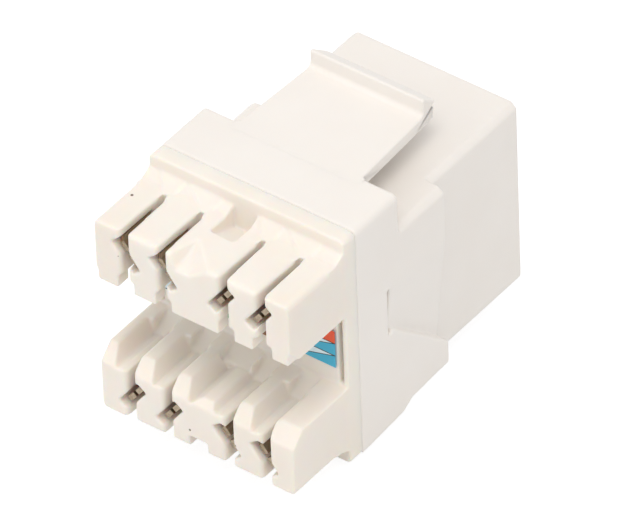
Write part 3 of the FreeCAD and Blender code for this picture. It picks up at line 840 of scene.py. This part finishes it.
    def _fin_noses(self) -> list[Corners]:
        """The lower front edge of each fin in the upper row, filled to a full corner."""
        low = self._in(1, self.row_inner)
        span = (low + self.nose_gap, low + self.nose)
        return [wedge(side, side, self.row_tip + self.nose, self.row_tip, span, span)
                for side in self.fin_fronts]


@dataclass
class MetalParts:
    """The forked wire terminals and the plug contacts."""

    tin: PlatedMetal = PlatedMetal("tinned_bronze", (0.46, 0.38, 0.28), (0.3, 0.24, 0.17), 0.36)
    gold: PlatedMetal = PlatedMetal("gold_plating", (0.95, 0.72, 0.3), (0.85, 0.6, 0.22), 0.22)

    def dress(self, effects: Effects) -> None:
        """Give every terminal and plug contact its plating."""
        tin = self.tin.material(effects)
        gold = self.gold.material(effects)
        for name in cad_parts:
            if name.startswith("idc_terminal"):
                refinish(name, tin)
            elif name.startswith("spring_contact"):
                refinish(name, gold)


@dataclass
class InnerParts:
    """The circuit board and the contact carrier."""

    board: MouldedPlastic = MouldedPlastic(
        "solder_mask", (0.03, 0.17, 0.06), (0.02, 0.14, 0.05), roughness=0.3, scatter=0.0, specks=0.0)
    carrier: MouldedPlastic = MouldedPlastic(
        "carrier_plastic", (0.03, 0.03, 0.033), (0.025, 0.025, 0.027), roughness=0.5, scatter=0.0)

    def dress(self, effects: Effects) -> None:
        """Give the board and the carrier their finishes."""
        refinish("circuit_board", self.board.material(effects))
        refinish("contact_carrier", self.carrier.material(effects))


@dataclass
class WiringLabel:
    """The printed label: three rows of cells, with each lower cell split by a diagonal. In mm."""

    columns: int = 4
    line: float = 0.07
    layer: float = 0.002
    finish: PrintedCard = PrintedCard("printed_card")
    white: tuple[float, float, float] = (0.72, 0.86, 0.92)
    ink: tuple[float, float, float] = (0.012, 0.012, 0.014)
    top_row: tuple[WireColour, ...] = field(default=(
        WireColour.BROWN, WireColour.GREEN, WireColour.BLUE, WireColour.ORANGE))
    lower_rows: tuple[WireColour, ...] = field(default=(
        WireColour.BLUE, WireColour.GREEN, WireColour.BROWN, WireColour.BLUE,
        WireColour.BROWN, WireColour.ORANGE, WireColour.GREEN, WireColour.BLUE))

    def build(self, effects: Effects) -> bpy.types.Object:
        """Build the label as a thin card whose rear face carries the coloured cells.

        Args:
            effects: the shared node groups.

        Returns:
            The label's object.
        """
        low, high = (np.array(corner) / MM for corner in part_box("wiring_label"))
        cells = self._cells(low, high)
        points = [[x, low[1] - self.layer * depth, z] for corners, depth, _ in cells for x, z in corners]
        points += [[low[0], high[1], low[2]], [low[0], high[1], high[2]],
                   [high[0], high[1], high[2]], [high[0], high[1], low[2]]]
        sizes = [len(corners) for corners, _, _ in cells] + [4]
        starts = np.cumsum([0] + sizes[:-1])
        faces = [list(range(start, start + size)) for start, size in zip(starts, sizes)]
        piece = new_piece("label_print", np.array(points) * MM, faces, self.finish.material(effects),
                          "main")
        piece.data.shade_flat()
        print_colour = piece.data.color_attributes.new(self.finish.attribute, "FLOAT_COLOR", "CORNER")
        colours = [colour for _, _, colour in cells] + [self.white]
        values = np.repeat(np.array([(*colour, 1.0) for colour in colours]), sizes, axis=0)
        print_colour.data.foreach_set("color", values.ravel())
        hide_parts("wiring_label")
        return piece

    def _cells(self, low: np.ndarray, high: np.ndarray) -> list[tuple[list[Span], int, tuple]]:
        """Lay out the coloured cells and the ink lines.

        Args:
            low: the label's lowest corner.
            high: the label's highest corner.

        Returns:
            For each cell or line: its corners in X and Z, how many layers it stands out, its colour.
        """
        x_lines = np.linspace(low[0], high[0], self.columns + 1)
        z_lines = np.linspace(low[2], high[2], 4)
        half = self.line / 2
        cells = []
        for column, (x0, x1) in enumerate(zip(x_lines, x_lines[1:])):
            colour = self.top_row[column].value
            cells.append(([(x0, z_lines[2]), (x1, z_lines[2]), (x1, high[2]), (x0, high[2])], 0, colour))
            for row in (0, 1):
                z0, z1 = z_lines[row], z_lines[row + 1]
                colour = self.lower_rows[row * self.columns + column].value
                cells.append(([(x0, z0), (x1, z0), (x1, z1)], 0, colour))
                cells.append(([(x0, z0), (x1, z1), (x0, z1)], 0, self.white))
                stroke = [(x0, z0 - half), (x1, z1 - half), (x1, z1 + half), (x0, z0 + half)]
                cells.append((stroke, 1, self.ink))
        for z in z_lines[1:-1]:
            stroke = [(low[0], z - half), (high[0], z - half), (high[0], z + half), (low[0], z + half)]
            cells.append((stroke, 2, self.ink))
        for x in x_lines[1:-1]:
            stroke = [(x - half, low[2]), (x + half, low[2]), (x + half, high[2]), (x - half, high[2])]
            cells.append((stroke, 3, self.ink))
        return cells


# ---------------------------------------------------------------- studio


LAMP_AIM = 0.01


@dataclass(frozen=True)
class Lamp:
    """One square soft lamp that faces the jack. Metres and watts."""

    name: str
    place: tuple[float, float, float]
    size: float
    power: float
    colour: tuple[float, float, float]

    def build(self) -> None:
        """Hang the lamp."""
        lamp = bpy.data.lights.new(self.name, "AREA")
        lamp.size = self.size
        lamp.energy = self.power
        lamp.color = self.colour
        holder = bpy.data.objects.new(self.name, lamp)
        holder.location = self.place
        aim = Vector((0, 0, LAMP_AIM)) - Vector(self.place)
        holder.rotation_euler = aim.to_track_quat("-Z", "Y").to_euler()
        bpy.context.collection.objects.link(holder)


def seen_directly(tree: bpy.types.NodeTree) -> bpy.types.NodeSocket:
    """Return a socket that is above 0 where the camera, a reflection or a refraction looks."""
    path = add_node(tree, "ShaderNodeLightPath")
    first = add_node(tree, "ShaderNodeMath", {"operation": "MAXIMUM"}, in_0=path.outputs["Is Camera Ray"],
                     in_1=path.outputs["Is Glossy Ray"])
    both = add_node(tree, "ShaderNodeMath", {"operation": "MAXIMUM"}, in_0=first.outputs["Value"],
                    in_1=path.outputs["Is Transmission Ray"])
    return both.outputs["Value"]


@dataclass
class Studio:
    """Camera, lamps, floor and background."""

    azimuth: float = 38.23
    elevation: float = 40.48
    roll: float = -2.22
    distance: float = 1005.8
    target: tuple[float, float, float] = (0.0, -0.625, 9.65)
    offset: tuple[float, float] = (-0.26, 0.23)
    focal_widths: float = 14209.5 / 617
    world_strength: float = 0.69
    floor_glow: float = 0.87
    floor_reach: float = 1.5
    floor_tone: float = 0.85
    floor_shade: float = 0.26
    lamps: tuple[Lamp, ...] = (
        Lamp("key", (0.12, -0.16, 0.5), 0.3, 1.08, (1.0, 0.95, 0.9)),
        Lamp("fill", (-0.3, -0.35, 0.25), 0.4, 0.36, (1.0, 0.97, 0.94)))

    def build(self) -> None:
        """Make the camera, the lights and the floor."""
        self._camera()
        self._world()
        for lamp in self.lamps:
            lamp.build()
        self._floor()

    def _camera(self) -> None:
        """Stand the camera far off, turned a little about its own axis."""
        azimuth, elevation, roll = (math.radians(v) for v in (self.azimuth, self.elevation, self.roll))
        back = Vector((math.sin(azimuth) * math.cos(elevation), -math.cos(azimuth) * math.cos(elevation),
                       math.sin(elevation)))
        right = (-back).cross(Vector((0, 0, 1))).normalized()
        up = right.cross(-back)
        turned_right = right * math.cos(roll) + up * math.sin(roll)
        turned_up = up * math.cos(roll) - right * math.sin(roll)
        place = (Vector(self.target) + back * self.distance + turned_right * self.offset[0]
                 + turned_up * self.offset[1])
        data = bpy.data.cameras.new("camera")
        data.sensor_width = 36.0
        data.lens = self.focal_widths * data.sensor_width
        data.clip_start, data.clip_end = 0.05, 10.0
        camera = bpy.data.objects.new("camera", data)
        camera.matrix_world = Matrix.Translation(place * MM) @ Matrix(
            (turned_right, turned_up, back)).transposed().to_4x4()
        bpy.context.collection.objects.link(camera)
        bpy.context.scene.camera = camera

    def _world(self) -> None:
        """White to the camera and to reflections, and a soft even light on the object."""
        world = bpy.data.worlds.new("studio")
        bpy.context.scene.world = world
        world.use_nodes = True
        tree = world.node_tree
        background = tree.nodes["Background"]
        strength = add_node(tree, "ShaderNodeMix", {"data_type": "FLOAT"}, in_0=seen_directly(tree),
                            in_2=self.world_strength, in_3=1.0)
        background.inputs["Color"].default_value = (1.0, 1.0, 1.0, 1)
        tree.links.new(strength.outputs[0], background.inputs["Strength"])

    def _floor(self) -> None:
        """A wide pale floor that shows as the white background and keeps the jack's shadow."""
        mesh = bpy.data.meshes.new("floor")
        reach = self.floor_reach
        mesh.from_pydata([(-reach, -reach, 0), (reach, -reach, 0), (reach, reach, 0), (-reach, reach, 0)], [],
                         [(0, 1, 2, 3)])
        floor = bpy.data.objects.new("floor", mesh)
        bpy.context.collection.objects.link(floor)
        material = bpy.data.materials.new("floor_white")
        material.use_nodes = True
        tree = material.node_tree
        shader = tree.nodes["Principled BSDF"]
        shader.inputs["Base Color"].default_value = (*[self.floor_tone] * 3, 1)
        shader.inputs["Roughness"].default_value = 0.9
        shown = add_node(tree, "ShaderNodeBsdfDiffuse", Color=(*[self.floor_shade] * 3, 1))
        glow = add_node(tree, "ShaderNodeEmission", Color=(1, 1, 1, 1), Strength=self.floor_glow)
        both = add_node(tree, "ShaderNodeAddShader", in_0=shown.outputs["BSDF"],
                        in_1=glow.outputs["Emission"])
        mix = add_node(tree, "ShaderNodeMixShader", in_0=seen_directly(tree),
                       in_1=shader.outputs["BSDF"], in_2=both.outputs["Shader"])
        tree.links.new(mix.outputs["Shader"], tree.nodes["Material Output"].inputs["Surface"])
        mesh.materials.append(material)


def main() -> None:
    """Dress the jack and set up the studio."""
    logging.basicConfig(level=logging.INFO)
    bpy.context.scene.view_settings.view_transform = "Standard"
    Studio().build()
    effects = Effects()
    housing_plastic = FrontHousing().dress(effects)
    LOG.info("front housing dressed")
    SnapTongue().build(housing_plastic)
    LOG.info("snap tongue built")
    WiringBlock().dress(effects)
    LOG.info("wiring block dressed")
    MetalParts().dress(effects)
    InnerParts().dress(effects)
    LOG.info("metal and inner parts dressed")
    WiringLabel().build(effects)
    LOG.info("wiring label built")


if __name__ == "__main__":
    main()
